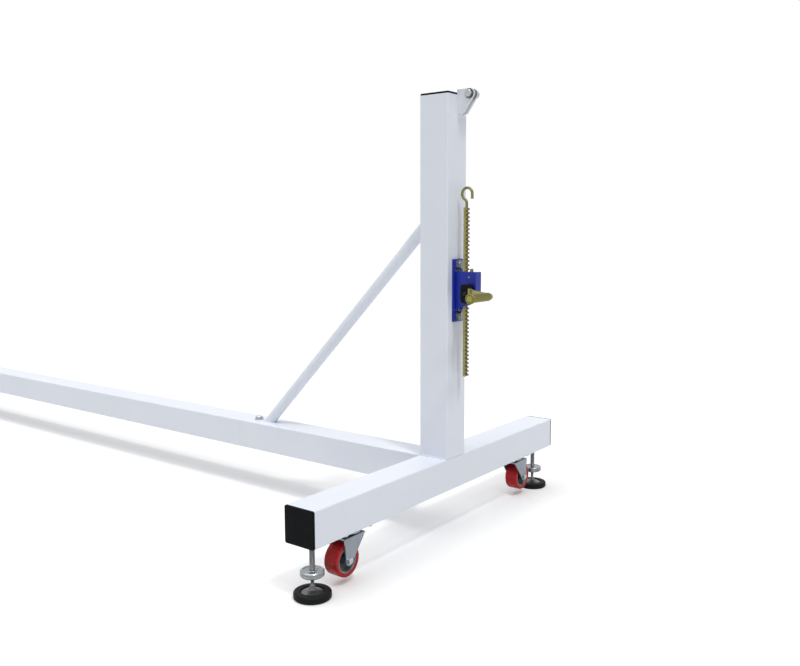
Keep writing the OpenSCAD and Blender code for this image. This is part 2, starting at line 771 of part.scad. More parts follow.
module pulley() {
    r = pulley_d / 2;
    h = pulley_w / 2;
    g = cable_d / 2 + 0.3;
    color([0.66, 0.68, 0.7]) on_pulley() difference() {
        rotate_extrude() difference() {
            polygon([[0, -h], [r - 1, -h], [r, -h + 1], [r, h - 1], [r - 1, h], [0, h]]);
            translate([r + 0.4, 0]) circle(r = g);
        }
        translate([0, 0, -20]) cylinder(d = bush_d + 2 * fit, h = 40);
    }
}

module pulley_bush() {
    color([0.72, 0.6, 0.35]) on_pulley() difference() {
        translate([0, 0, -ear_gap / 2]) cylinder(d = bush_d, h = ear_gap);
        translate([0, 0, -20]) cylinder(d = pulley_bolt_d + 2 * fit, h = 40);
    }
}

module pulley_bolt() {
    out = ear_gap / 2 + ear_t + pulley_washer_t;
    color([0.72, 0.73, 0.75]) on_pulley() translate([0, 0, out]) rotate([180, 0, 0])
        hex_bolt(pulley_bolt_d, 2 * out + nut_h(pulley_bolt_d) + 2);
}

module pulley_washers() {
    out = ear_gap / 2 + ear_t;
    color([0.7, 0.71, 0.73]) on_pulley() for (z = [-out - pulley_washer_t, out])
        translate([0, 0, z]) washer(pulley_bolt_d, 2 * ear_r - 1, pulley_washer_t);
}

module pulley_nut() {
    out = ear_gap / 2 + ear_t + pulley_washer_t;
    color([0.72, 0.73, 0.75]) on_pulley() translate([0, 0, -out - nut_h(pulley_bolt_d)])
        hex_nut(pulley_bolt_d, nut_h(pulley_bolt_d), fit);
}

// tensioner

// drawn round the pinion axis with its own axis along Y
module on_shaft() { translate([shaft_x, 0, shaft_z]) rotate([90, 0, 0]) children(); }

module tensioner_plate() {
    color([0.14, 0.2, 0.56]) difference() {
        translate([half_w, 0, plate_mid]) rotate([90, 0, 90]) linear_extrude(height = tplate_t)
            union() {
                square([tplate_w - 6, tplate_h], center = true);
                square([tplate_w, tplate_h - 6], center = true);
                for (sx = [-1, 1]) for (sy = [-1, 1])
                    translate([sx * (tplate_w / 2 - 3), sy * (tplate_h / 2 - 3)]) circle(r = 3);
            }
        for (s = [-1, 1]) translate([half_w - 1, 0, plate_mid + s * tbolt_gap / 2])
            rotate([0, 90, 0]) cylinder(d = bolt_d + bolt_play, h = tplate_t + 2);
    }
}

module plate_bolts() {
    color([0.78, 0.79, 0.8]) for (s = [-1, 1])
        translate([house_x0 + washer_t, 0, plate_mid + s * tbolt_gap / 2])
            rotate([0, -90, 0]) hex_bolt(bolt_d, 22);
}

module plate_washers() {
    color([0.78, 0.79, 0.8]) for (s = [-1, 1])
        translate([house_x0, 0, plate_mid + s * tbolt_gap / 2])
            rotate([0, 90, 0]) washer(bolt_d, bolt_d * 2, washer_t);
}

// side view of the housing, with x first and z second
module house_profile(in) {
    polygon([[house_x0 - in, house_top - in], [house_x1 - in, house_top - in],
        [house_x1 - in, house_top - house_front - in * 2],
        [house_x0 - in, house_top - house_front - house_slope - in * 3]]);
}

// folded sheet housing, open below and at the back
module housing() {
    color([0.14, 0.2, 0.56]) difference() {
        translate([0, house_w / 2, 0]) rotate([90, 0, 0])
            linear_extrude(height = house_w) house_profile(0);
        translate([0, house_in, 0]) rotate([90, 0, 0])
            linear_extrude(height = 2 * house_in) house_profile(house_t);
        translate([rack_x0 - 0.5, -rack_w / 2 - 0.5, house_top - house_t - 1])
            cube([rack_t + 1, rack_w + 1, house_t + 2]);
        translate([shaft_x, 0, house_top - house_t - 1])
            cylinder(d = plunger_d + 2 * fit, h = house_t + 2);
        on_shaft() translate([0, 0, -house_w])
            cylinder(d = shaft_d + 2 * fit, h = 2 * house_w);
        translate([shaft_x, -house_w, cross_z]) rotate([-90, 0, 0])
            cylinder(d = cross_pin_d, h = 2 * house_w);
    }
}

// nylon blocks that hold the rack upright between the housing cheeks
module rack_guides() {
    z0 = shaft_z - guide_h / 2 + 1;
    x1 = shaft_x - pinion_root - 1.6;
    color([0.13, 0.13, 0.14]) {
        for (s = [-1, 1]) translate([house_x0, s * (rack_w / 2 + fit + guide_t / 2) - guide_t / 2, z0])
            cube([x1 - house_x0, guide_t, guide_h]);
        translate([house_x0, -rack_w / 2, z0]) cube([rack_x0 - house_x0 - 0.1, rack_w, guide_h]);
    }
}

// straight sided rack teeth, one cut profile for the whole bar
module rack() {
    half = pitch / 4 - tooth_play;
    root_h = half + tooth_ded * tan(tooth_pa);
    tip_h = half - tooth_add * tan(tooth_pa);
    root_x = pitch_x - tooth_ded;
    teeth = [for (k = [rack_half:-1:-rack_half], p = [[root_x, root_h], [rack_x1, tip_h],
        [rack_x1, -tip_h], [root_x, -root_h]]) [p[0], shaft_z + k * pitch + p[1]]];
    color([0.62, 0.6, 0.36]) difference() {
        translate([0, rack_w / 2, 0]) rotate([90, 0, 0]) linear_extrude(height = rack_w)
            polygon(concat([[rack_x0, rack_bot], [rack_x0, rack_top], [root_x, rack_top]],
                teeth, [[root_x, rack_bot]]));
        translate([stem_x, 0, rack_top - hook_in]) cylinder(d = wire_d, h = 2 * hook_in);
    }
}

// bent wire hook screwed into the rack top
module hook() {
    color([0.66, 0.64, 0.4]) union() {
        translate([stem_x, 0, rack_top - hook_in]) cylinder(d = wire_d, h = hook_in + hook_stem);
        translate([stem_x - neck_r, 0, neck_z]) rotate([90, 0, 0])
            rotate_extrude(angle = neck_ang) translate([neck_r, 0]) circle(d = wire_d);
        translate([loop_x, 0, loop_z]) rotate([90, 0, 0])
            rotate_extrude(angle = 180 + neck_ang) translate([loop_r, 0]) circle(d = wire_d);
        translate([loop_x + loop_r, 0, loop_z - hook_tail]) cylinder(d = wire_d, h = hook_tail);
    }
}

// point of an involute with base radius b at radius r, turned by t
function inv(r, b) = let (u = acos(b / r)) tan(u) * 180 / PI - u;
function polar(r, t) = [r * cos(t), r * sin(t)];

module pinion() {
    base_r = pitch_r * cos(tooth_pa);
    half_a = 90 / pinion_n - tooth_play / pitch_r * 180 / PI;
    at0 = inv(pitch_r, base_r);
    low_r = max(base_r, pinion_root);
    steps = 5;
    flank = [for (i = [0:steps]) let (r = low_r + (pinion_tip - low_r) * i / steps)
        [r, half_a + at0 - inv(r, base_r)]];
    tooth = concat([polar(pinion_root, -half_a - at0)],
        [for (f = flank) polar(f[0], -f[1])],
        [for (i = [steps:-1:0]) polar(flank[i][0], flank[i][1])],
        [polar(pinion_root, half_a + at0)]);
    pts = [for (k = [0:pinion_n - 1], p = tooth)
        let (c = (k + 0.5) * 360 / pinion_n) [p[0] * cos(c) - p[1] * sin(c),
            p[0] * sin(c) + p[1] * cos(c)]];
    color([0.45, 0.46, 0.48]) on_shaft() difference() {
        translate([0, 0, -pinion_w / 2]) linear_extrude(height = pinion_w) polygon(pts);
        translate([0, 0, -pinion_w]) cylinder(d = shaft_d, h = 2 * pinion_w);
    }
}

module pinion_shaft() {
    color([0.2, 0.2, 0.21]) on_shaft() difference() {
        translate([0, 0, -side_y - 9]) cylinder(d = shaft_d, h = side_y + 9 + hub_y1 - arm_t / 2);
        translate([0, 0, hub_y1 - screw_in]) cylinder(d = screw_d, h = screw_in);
    }
}

// collar that keeps the shaft in place on the far side
module shaft_collar() {
    color([0.2, 0.2, 0.21]) on_shaft() translate([0, 0, -side_y - 8.5]) difference() {
        cylinder(d = shaft_d + 8, h = 8);
        translate([0, 0, -1]) cylinder(d = shaft_d, h = 10);
        translate([0, 0, 4]) rotate([90, 0, 0]) cylinder(d = 4, h = 20);
    }
}

// locking plunger with a wedge tip that drops between two pinion teeth
module plunger() {
    color([0.66, 0.64, 0.4]) difference() {
        union() {
            translate([shaft_x, 0, plunger_tip]) rotate_extrude()
                polygon([[0, 0], [1.2, 0], [plunger_d / 2, 4.5],
                    [plunger_d / 2, house_top + peg_h - 0.8 - plunger_tip],
                    [plunger_d / 2 - 0.8, house_top + peg_h - plunger_tip],
                    [0, house_top + peg_h - plunger_tip]]);
        }
        translate([shaft_x - cross_pin_d / 2 - 0.2, -20, cross_z - cross_pin_d / 2 - 3.3])
            cube([cross_pin_d + 0.4, 40, cross_pin_d + plunger_drop + 4]);
    }
}

module cross_pin() {
    color([0.72, 0.73, 0.75]) translate([shaft_x, -house_w / 2 - 1, cross_z])
        rotate([-90, 0, 0]) cylinder(d = cross_pin_d, h = house_w + 2);
}

// crank

module crank_hub() {
    color([0.11, 0.11, 0.12]) on_shaft() difference() {
        translate([0, 0, hub_y0]) linear_extrude(height = hub_t) union() {
            square([hub_w - 2 * hub_r, hub_h], center = true);
            square([hub_w, hub_h - 2 * hub_r], center = true);
            for (sx = [-1, 1]) for (sy = [-1, 1])
                translate([sx * (hub_w / 2 - hub_r), sy * (hub_h / 2 - hub_r)])
                    circle(r = hub_r);
        }
        translate([0, 0, hub_y0 - 1])
            cylinder(d = shaft_d, h = hub_t - arm_t / 2 + 1 + bore_gap);
        translate([0, 0, hub_y1 - arm_t]) cylinder(d = screw_d, h = arm_t + 1);
        rotate([0, 0, -crank_dip]) {
            translate([0, -arm_root_w / 2, arm_in]) cube([hub_w, arm_root_w, arm_t / 2]);
            translate([cover_x, -arm_root_w / 2, arm_in]) cube([hub_w, arm_root_w, arm_t + 1]);
        }
    }
}

// pan head screw with a hexagon socket that holds the hub on the shaft end
module hub_screw() {
    color([0.75, 0.76, 0.78]) on_shaft() difference() {
        union() {
            translate([0, 0, hub_y1 - screw_in + 1]) cylinder(d = screw_d, h = screw_in);
            translate([0, 0, hub_y1]) cylinder(d1 = screw_d * 1.8, d2 = screw_d * 1.3, h = 3);
        }
        translate([0, 0, hub_y1 + 1]) cylinder(d = screw_d * 0.7, h = 3, $fn = 6);
    }
}

// flat arm, tapered, stepped outwards so that it turns clear of the post
module crank_arm() {
    bend0 = hub_w / 2 + 1;
    bend1 = arm_free - arm_tip_w / 2 - 4;
    color([0.66, 0.64, 0.4]) on_shaft() rotate([0, 0, -crank_dip]) difference() {
        intersection() {
            rotate([-90, 0, 0]) translate([0, 0, -30]) linear_extrude(height = 60)
                polygon([[0, -arm_in - arm_t / 2], [cover_x, -arm_in - arm_t / 2],
                    [cover_x, -arm_in - arm_t], [bend0, -arm_in - arm_t],
                    [bend1, -arm_out - arm_t], [crank_r + 20, -arm_out - arm_t],
                    [crank_r + 20, -arm_out], [bend1 + 2, -arm_out], [bend0 + 2, -arm_in],
                    [0, -arm_in]]);
            linear_extrude(height = 100) union() {
                translate([crank_r, 0]) circle(d = arm_tip_w);
                polygon([[0, -arm_root_w / 2], [hub_w / 2, -arm_root_w / 2],
                    [crank_r, -arm_tip_w / 2], [crank_r, arm_tip_w / 2],
                    [hub_w / 2, arm_root_w / 2], [0, arm_root_w / 2]]);
            }
        }
        cylinder(d = shaft_d, h = 100);
        translate([crank_r, 0, 0]) cylinder(d = grip_pin_d, h = 100);
    }
}

module on_grip() { translate([grip_x, 0, grip_z]) rotate([90, 0, 0]) children(); }

// headed pin that carries the grip, riveted through the arm
module grip_pin() {
    color([0.6, 0.6, 0.58]) on_grip() union() {
        translate([0, 0, arm_out]) cylinder(d = grip_pin_d, h = grip_len + arm_t + 1);
        translate([0, 0, arm_out + arm_t + grip_len - 2.5])
            cylinder(d = grip_pin_d + 5, h = 3);
    }
}

// turned grip with eased ends and a recess for the pin head
module grip() {
    r = grip_d / 2;
    rb = grip_body_d / 2;
    color([0.68, 0.66, 0.42]) on_grip() translate([0, 0, grip_y0]) difference() {
        rotate_extrude() polygon([[0, 0], [rb - 3.4, 0], [rb - 1, 1.4], [rb, 3.8],
            [rb, grip_len - 12], [rb + 0.7, grip_len - 8.5], [r, grip_len - 5],
            [r, grip_len - 1.8], [r - 1.8, grip_len], [0, grip_len]]);
        translate([0, 0, -1]) cylinder(d = grip_pin_d + 2 * fit, h = grip_len + 2);
        translate([0, 0, grip_len - 3.4]) cylinder(d = grip_pin_d + 6, h = 5);
    }
}

place() post_tube();
place() post_cap();
place() cross_beam();
place() cross_caps();
place() beam_stub();
place() tie_beam();
place() joint_sleeve();
place() joint_bolt();
place() joint_washer();
place() weld_nuts();
place() brace_tube();
place() foot_stem_near();
place() foot_disc_near();
place() foot_cup_near();
place() foot_pad_near();
place() foot_stem_far();
place() foot_disc_far();
place() foot_cup_far();
place() foot_pad_far();
place() foot_stem_tie();
place() foot_disc_tie();
place() foot_cup_tie();
place() foot_pad_tie();
place() caster_plates();
place() caster_kingpins();
place() caster_bolts();
place() fork_near();
place() tread_near();
place() hub_near();
place() axle_near();
place() axle_nut_near();
place() fork_far();
place() tread_far();
place() hub_far();
place() axle_far();
place() axle_nut_far();
place() pulley_bracket();
place() pulley();
place() pulley_bush();
place() pulley_bolt();
place() pulley_washers();
place() pulley_nut();
place() tensioner_plate();
place() plate_bolts();
place() plate_washers();
place() housing();
place() rack_guides();
place() rack();
place() hook();
place() pinion();
place() pinion_shaft();
place() shaft_collar();
place() plunger();
place() cross_pin();
place() crank_hub();
place() hub_screw();
place() crank_arm();
place() grip_pin();
place() grip();
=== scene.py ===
"""Tennis net post: materials, small formed details, light and camera round the CAD model."""
import math
import random

import bmesh
import bpy
from mathutils import Matrix, Vector


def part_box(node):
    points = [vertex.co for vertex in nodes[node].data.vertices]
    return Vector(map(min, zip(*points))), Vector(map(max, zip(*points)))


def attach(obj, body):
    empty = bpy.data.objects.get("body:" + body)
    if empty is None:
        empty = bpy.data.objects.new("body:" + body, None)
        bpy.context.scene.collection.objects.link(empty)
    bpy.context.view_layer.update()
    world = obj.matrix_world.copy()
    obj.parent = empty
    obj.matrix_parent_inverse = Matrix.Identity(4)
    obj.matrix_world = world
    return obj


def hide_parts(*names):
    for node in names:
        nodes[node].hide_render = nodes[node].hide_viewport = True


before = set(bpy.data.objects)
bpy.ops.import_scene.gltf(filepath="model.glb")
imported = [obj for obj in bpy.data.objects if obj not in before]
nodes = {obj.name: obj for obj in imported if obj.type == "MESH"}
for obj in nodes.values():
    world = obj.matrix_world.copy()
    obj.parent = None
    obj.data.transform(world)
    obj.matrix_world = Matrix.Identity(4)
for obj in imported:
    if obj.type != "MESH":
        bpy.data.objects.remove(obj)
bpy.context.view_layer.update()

# the CAD boxes give the places of the post and its parts
post_lo, post_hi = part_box("post_tube")
POST_X = (post_lo.x + post_hi.x) / 2      # post axis
HALF = (post_hi.x - post_lo.x) / 2        # half the square tube
BEAM_TOP = post_lo.z                      # top of the beams, where the post stands
RACK_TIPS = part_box("rack")[1].x           # tips of the rack's teeth


# materials
class Mat:
    """A material with a Principled shader, and short ways to add nodes to it."""

    MIX_FACTOR, MIX_A, MIX_B, MIX_RESULT = 0, 6, 7, 2     # sockets of a Mix node for colours
    BEVEL_SAMPLES = 6
    MIDDLE = (0.3, 0.7)       # most of a noise lies between these
    LOOKS_UP = (0.3, 0.95)    # upright part of a face's direction, from a slope to nearly level

    def __init__(self, name, edge, **sockets):
        self.material = bpy.data.materials.new(name)
        self.material.use_nodes = True
        self.tree = self.material.node_tree
        self.shader = self.tree.nodes["Principled BSDF"]
        for k, v in sockets.items():
            self.shader.inputs[k.replace("_", " ")].default_value = v
        self.coords = self.node("ShaderNodeTexCoord").outputs["Object"]
        # the small rounding that every formed, cut or coated edge has
        n = self.node("ShaderNodeBevel")
        n.samples = self.BEVEL_SAMPLES
        n.inputs["Radius"].default_value = edge
        self.normal = n.outputs["Normal"]
        self.link(self.normal, self.shader.inputs["Normal"])

    def node(self, kind, **props):
        n = self.tree.nodes.new(kind)
        for k, v in props.items():
            setattr(n, k, v)
        return n

    def link(self, a, b):
        self.tree.links.new(a, b)

    def set(self, socket, value):
        self.link(value, self.shader.inputs[socket])

    def stretched(self, scale):
        """The object's coordinates, squeezed along some axes so that noise becomes streaks."""
        n = self.node("ShaderNodeMapping")
        n.inputs["Scale"].default_value = scale
        self.link(self.coords, n.inputs["Vector"])
        return n.outputs["Vector"]

    def noise(self, scale, detail=3.0, rough=0.55, vec=None, distort=0.0):
        n = self.node("ShaderNodeTexNoise")
        n.inputs["Scale"].default_value = scale
        n.inputs["Detail"].default_value = detail
        n.inputs["Roughness"].default_value = rough
        n.inputs["Distortion"].default_value = distort
        self.link(vec or self.coords, n.inputs["Vector"])
        return n.outputs["Fac"]

    def voronoi(self, scale, feature="F1"):
        n = self.node("ShaderNodeTexVoronoi", feature=feature)
        n.inputs["Scale"].default_value = scale
        self.link(self.coords, n.inputs["Vector"])
        return n.outputs["Distance"]

    def remap(self, fac, lo, hi, a=0.0, b=1.0):
        """fac from lo to hi becomes a to b."""
        n = self.node("ShaderNodeMapRange")
        self.link(fac, n.inputs["Value"])
        for k, v in (("From Min", lo), ("From Max", hi), ("To Min", a), ("To Max", b)):
            n.inputs[k].default_value = v
        return n.outputs["Result"]

    def patches(self, scale, lo, hi, a=0.0, b=1.0, **kind):
        """Noise cut to patches: a below lo, b above hi, a soft edge between."""
        return self.remap(self.noise(scale, **kind), lo, hi, a, b)

    def gloss(self, fac, low, high):
        """Uneven roughness, from low to high where fac goes through its middle range."""
        self.set("Roughness", self.remap(fac, *self.MIDDLE, low, high))

    def mix(self, a, b, fac, share=None):
        """Colour a with colour b over it where fac is 1; share weakens that."""
        if share is not None:
            fac = self.mul(fac, share)
        n = self.node("ShaderNodeMix", data_type="RGBA")
        for i, v in ((self.MIX_FACTOR, fac), (self.MIX_A, a), (self.MIX_B, b)):
            if hasattr(v, "links"):
                self.link(v, n.inputs[i])
            else:
                n.inputs[i].default_value = v
        return n.outputs[self.MIX_RESULT]

    def calc(self, operation, a, b=None):
        n = self.node("ShaderNodeMath", operation=operation)
        self.link(a, n.inputs[0])
        if isinstance(b, (int, float)):
            n.inputs[1].default_value = b
        elif b is not None:
            self.link(b, n.inputs[1])
        return n.outputs[0]

    def mul(self, a, b):
        return self.calc("MULTIPLY", a, b)

    def parts(self, vec):
        """The X, Y and Z outputs of a vector."""
        n = self.node("ShaderNodeSeparateXYZ")
        self.link(vec, n.inputs[0])
        return n.outputs

    def facing(self):
        """The X, Y and Z parts of the way that a face looks."""
        return self.parts(self.node("ShaderNodeNewGeometry").outputs["Normal"])

    def up_facing(self):
        """0 on walls and undersides, 1 on faces that look up: where dust settles, and where
        painted light or shade goes on the tops of metal parts.
        """
        return self.remap(self.facing()["Z"], *self.LOOKS_UP)

    def bump(self, height, strength, distance):
        """Chains bumps: each call adds one layer under the last."""
        n = self.node("ShaderNodeBump")
        n.inputs["Strength"].default_value = strength
        n.inputs["Distance"].default_value = distance
        self.link(height, n.inputs["Height"])
        self.link(self.normal, n.inputs["Normal"])
        self.normal = n.outputs["Normal"]
        self.link(self.normal, self.shader.inputs["Normal"])


def paint(name, base, shade, rough, edge=0.0012, spec=0.5):
    """Powder coat: orange peel, slight colour drift and uneven gloss."""
    m = Mat(name, edge, Specular_IOR_Level=spec)
    col = m.mix(base, shade, m.patches(scale=7.0, detail=4.0, lo=0.38, hi=0.66))
    specks = m.patches(scale=60.0, detail=5.0, rough=0.7, lo=0.55, hi=0.78)
    m.set("Base Color", m.mix(col, shade, specks, share=0.35))
    m.gloss(m.noise(scale=35.0), low=rough - 0.05, high=rough + 0.09)
    m.bump(m.noise(scale=420.0, detail=2.0, rough=0.5), strength=0.10, distance=0.0004)
    m.bump(m.voronoi(scale=950.0, feature="SMOOTH_F1"), strength=0.05, distance=0.0002)
    return m.material


def plastic(name, base, light, rough, spec, grain=900.0):
    """Moulded plastic: fine spark-eroded grain, faint flow marks, a little dust on top."""
    m = Mat(name, edge=0.0005, Specular_IOR_Level=spec)
    flow = m.patches(scale=45.0, detail=4.0, rough=0.65, lo=0.45, hi=0.75)
    m.set("Base Color", m.mix(m.mix(base, light, flow), light, m.up_facing(), share=0.5))
    m.gloss(m.noise(scale=120.0), low=rough - 0.06, high=rough + 0.08)
    m.bump(m.noise(grain, detail=2.0, rough=0.6), strength=0.25, distance=0.00012)
    return m.material


def plated(name, base, dull, rough=0.34, metal=0.9, lay=(1, 1, 1), tint=None, painted_top_shading=None):
    """Zinc plate: crystalline mottling, drawn marks along one direction, patchy dullness, and,
    where a top colour is given, painted light or shade on the faces that look up.
    """
    m = Mat(name, edge=0.0004, Metallic=metal)
    col = m.mix(base, dull, m.patches(scale=90.0, detail=5.0, rough=0.65, lo=0.35, hi=0.72))
    col = m.mix(col, dull, m.remap(m.voronoi(scale=260.0), lo=0.1, hi=0.9), share=0.3)
    if tint:
        warm, green = tint
        warm_at = m.patches(scale=38.0, detail=2.0, rough=0.4, distort=0.6, lo=0.46, hi=0.7)
        green_at = m.patches(scale=55.0, detail=2.0, rough=0.4, distort=0.9, lo=0.5, hi=0.74)
        col = m.mix(m.mix(col, warm, warm_at, share=0.55), green, green_at, share=0.45)
    # painted light or shade: faces that look up are made lighter or darker than the sides, as the
    # light would fall on them
    if painted_top_shading:
        col = m.mix(col, painted_top_shading, m.up_facing(), share=0.8)
    m.set("Base Color", col)
    streak = m.noise(scale=260.0, detail=4.0, rough=0.6, vec=m.stretched(lay))
    m.gloss(streak, low=rough - 0.07, high=rough + 0.12)
    m.bump(streak, strength=0.08, distance=0.00015)
    m.bump(m.noise(scale=700.0, rough=0.6), strength=0.08, distance=0.0001)
    return m.material


# the rack's toothed face and tips are darkened: partly grease, partly painted shade where the
# tooth gaps lie in shade
GREASE_SHADE_FROM, GREASE_SHADE_FULL = 0.0052, 0.0022      # depths below the tips of the teeth
SIDE_FACE, TOOTH_FACE = 0.85, 0.4              # how far a face of the bar looks sideways
TIP_GREASE_SHADE = 0.35                              # grease and painted shade that the tips have besides the rest


def rack_material():
    """Yellow plate on the bar's sides; the toothed face and the tips darkened by old grease and by
    painted shade.
    """
    m = Mat("grease_and_shade_rack", edge=0.0003, Metallic=0.55)
    plate, dull = (0.385, 0.345, 0.10, 1), (0.29, 0.255, 0.072, 1)
    green, grease_and_shade = (0.2, 0.23, 0.075, 1), (0.10, 0.088, 0.033, 1)
    col = m.mix(plate, dull, m.patches(scale=80.0, detail=5.0, rough=0.65, lo=0.35, hi=0.7))
    spots = m.patches(scale=50.0, detail=2.0, rough=0.4, distort=0.8, lo=0.5, hi=0.74)
    col = m.mix(col, green, spots, share=0.4)
    # grease and painted shade: faces that don't look sideways, the toothed face, go dark, and the
    # tips partly
    on_teeth = m.remap(m.calc("ABSOLUTE", m.facing()["Y"]), SIDE_FACE, TOOTH_FACE)
    near_tips = m.remap(m.parts(m.coords)["X"], RACK_TIPS - GREASE_SHADE_FROM, RACK_TIPS - GREASE_SHADE_FULL)
    uneven = m.patches(scale=130.0, detail=4.0, rough=0.7, lo=0.25, hi=0.6, a=0.7)
    grease_and_shade_mask = m.mul(m.calc("ADD", on_teeth, m.mul(near_tips, TIP_GREASE_SHADE)), uneven)
    m.set("Base Color", m.mix(col, grease_and_shade, grease_and_shade_mask))
    m.set("Roughness", m.remap(grease_and_shade_mask, lo=0.0, hi=1.0, a=0.42, b=0.27))
    m.bump(m.noise(scale=300.0, detail=4.0, rough=0.6), strength=0.12, distance=0.0002)
    return m.material


def rubber_material():
    """Black rubber pads: a coarse grain and grey dust on top."""
    m = Mat("black_rubber", edge=0.0008, Specular_IOR_Level=0.11)
    black, worn = (0.007, 0.0073, 0.0077, 1), (0.0125, 0.013, 0.0135, 1)
    dust = (0.014, 0.0145, 0.015, 1)
    col = m.mix(black, worn, m.patches(scale=70.0, detail=5.0, rough=0.7, lo=0.42, hi=0.75))
    m.set("Base Color", m.mix(col, dust, m.up_facing(), share=0.5))
    m.gloss(m.noise(scale=200.0), low=0.5, high=0.68)
    m.bump(m.noise(scale=1100.0, rough=0.65), strength=0.35, distance=0.0002)
    m.bump(m.noise(scale=90.0, detail=2.0), strength=0.08, distance=0.0006)
    return m.material


def tread_material():
    """Red cast polyurethane: slightly clear coated, with the marks of rolling round it."""
    m = Mat("red_polyurethane", edge=0.0008, Coat_Weight=0.12, Coat_Roughness=0.08, IOR=1.45,
            Specular_IOR_Level=0.14)
    bright, deep = (0.46, 0.014, 0.018, 1), (0.31, 0.009, 0.013, 1)
    m.set("Base Color", m.mix(bright, deep, m.patches(scale=26.0, rough=0.5, lo=0.35, hi=0.7)))
    m.gloss(m.noise(scale=140.0, detail=4.0, rough=0.6), low=0.2, high=0.34)
    m.bump(m.noise(scale=300.0, detail=2.0), strength=0.06, distance=0.0003)
    m.bump(m.noise(scale=520.0, detail=2.0, vec=m.stretched((1, 0.05, 0.05))), strength=0.05,
           distance=0.0002)
    return m.material


HUB_RIM = 0.0235      # radius inside which the hub's face is darkened with painted shade
HUB_FADE = 0.006      # the painted shade grows to full over this


def hub_material(end):
    """Grey moulded hub, with painted shade darkening the recess round the axle."""
    m = Mat(f"grey_hub_{end}", edge=0.0005, Specular_IOR_Level=0.4)
    grey, dull, recess_shade = (0.24, 0.262, 0.275, 1), (0.19, 0.207, 0.217, 1), (0.022, 0.025, 0.03, 1)
    lo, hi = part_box(f"hub_{end}")
    at = m.parts(m.coords)
    yz = m.node("ShaderNodeCombineXYZ")
    m.link(at["Y"], yz.inputs["Y"])
    m.link(at["Z"], yz.inputs["Z"])
    away = m.node("ShaderNodeVectorMath", operation="DISTANCE")
    m.link(yz.outputs[0], away.inputs[0])
    away.inputs[1].default_value = (0.0, (lo.y + hi.y) / 2, (lo.z + hi.z) / 2)
    col = m.mix(grey, dull, m.patches(scale=45.0, detail=4.0, rough=0.65, lo=0.4, hi=0.7))
    # painted shade: the recess round the axle is darkened, standing in for its shadow
    recess = m.remap(away.outputs["Value"], HUB_RIM, HUB_RIM - HUB_FADE)
    shade_patches = m.patches(scale=90.0, detail=4.0, rough=0.6, lo=0.25, hi=0.6, a=0.6, b=0.92)
    m.set("Base Color", m.mix(col, recess_shade, m.mul(recess, shade_patches)))
    m.gloss(m.noise(scale=120.0), low=0.32, high=0.46)
    m.bump(m.noise(scale=1500.0, detail=2.0, rough=0.6), strength=0.25, distance=0.00012)
    return m.material


white = paint("white_powder_coat", rough=0.36,
              base=(0.80, 0.842, 0.925, 1), shade=(0.78, 0.822, 0.908, 1))
bracket_paint = paint("bracket_powder_coat", rough=0.33,
                      base=(0.79, 0.818, 0.866, 1), shade=(0.757, 0.787, 0.838, 1))
blue = paint("blue_powder_coat", rough=0.34, edge=0.0009, spec=0.33,
             base=(0.0075, 0.0255, 0.35, 1), shade=(0.006, 0.021, 0.305, 1))
black_cap = plastic("black_moulded_cap", rough=0.42, spec=0.06, grain=1500.0,
                    base=(0.0025, 0.0029, 0.0038, 1), light=(0.0052, 0.0057, 0.007, 1))
nylon = plastic("black_nylon", rough=0.46, spec=0.08,
                base=(0.004, 0.0042, 0.004, 1), light=(0.009, 0.0093, 0.009, 1))
grey_nylon = plastic("grey_nylon", rough=0.4, spec=0.3,
                     base=(0.185, 0.188, 0.194, 1), light=(0.24, 0.243, 0.25, 1))
# painted light: faces that look up are lighter
zinc = plated("bright_zinc", rough=0.27,
              base=(0.50, 0.54, 0.55, 1), dull=(0.36, 0.39, 0.41, 1), painted_top_shading=(0.62, 0.65, 0.67, 1))
caster_steel = plated("caster_zinc", metal=0.75,
                      base=(0.30, 0.335, 0.372, 1), dull=(0.23, 0.26, 0.295, 1))
# painted light: the faces of the discs that look up are lighter
disc_steel = plated("foot_disc_zinc", rough=0.3, metal=0.85, lay=(1, 1, 12),
                    base=(0.29, 0.31, 0.325, 1), dull=(0.215, 0.23, 0.24, 1),
                    painted_top_shading=(0.38, 0.405, 0.42, 1))
stem_steel = plated("foot_stem_zinc", metal=0.85,
                    base=(0.275, 0.28, 0.295, 1), dull=(0.2, 0.205, 0.215, 1))
# painted shade: faces that look up are darker
cup_steel = plated("foot_cup_steel", rough=0.32, metal=0.85,
                   base=(0.175, 0.18, 0.184, 1), dull=(0.115, 0.119, 0.123, 1),
                   painted_top_shading=(0.15, 0.155, 0.16, 1))
mill_steel = plated("mill_steel", rough=0.45, base=(0.30, 0.30, 0.32, 1), dull=(0.2, 0.2, 0.21, 1))
black_steel = plated("blackened_steel", rough=0.4, metal=0.6,
                     base=(0.022, 0.022, 0.023, 1), dull=(0.012, 0.012, 0.013, 1))
bronze = plated("sintered_bronze", rough=0.42,
                base=(0.36, 0.23, 0.09, 1), dull=(0.26, 0.16, 0.065, 1))
yellow = plated("yellow_zinc", metal=0.6,
                base=(0.39, 0.37, 0.115, 1), dull=(0.27, 0.262, 0.072, 1),
                tint=((0.44, 0.31, 0.10, 1), (0.25, 0.32, 0.095, 1)))
# painted shade: the grip's faces that look up are darkened
grip_steel = plated("yellow_zinc_grip", rough=0.4, metal=0.86, lay=(1, 9, 1),
                    base=(0.215, 0.2, 0.04, 1), dull=(0.15, 0.139, 0.026, 1),
                    tint=((0.23, 0.165, 0.035, 1), (0.135, 0.165, 0.032, 1)),
                    painted_top_shading=(0.085, 0.078, 0.018, 1))
rod = plated("yellow_zinc_wire", metal=0.6,
             base=(0.25, 0.245, 0.085, 1), dull=(0.155, 0.152, 0.05, 1),
             tint=((0.28, 0.2, 0.07, 1), (0.16, 0.2, 0.062, 1)))

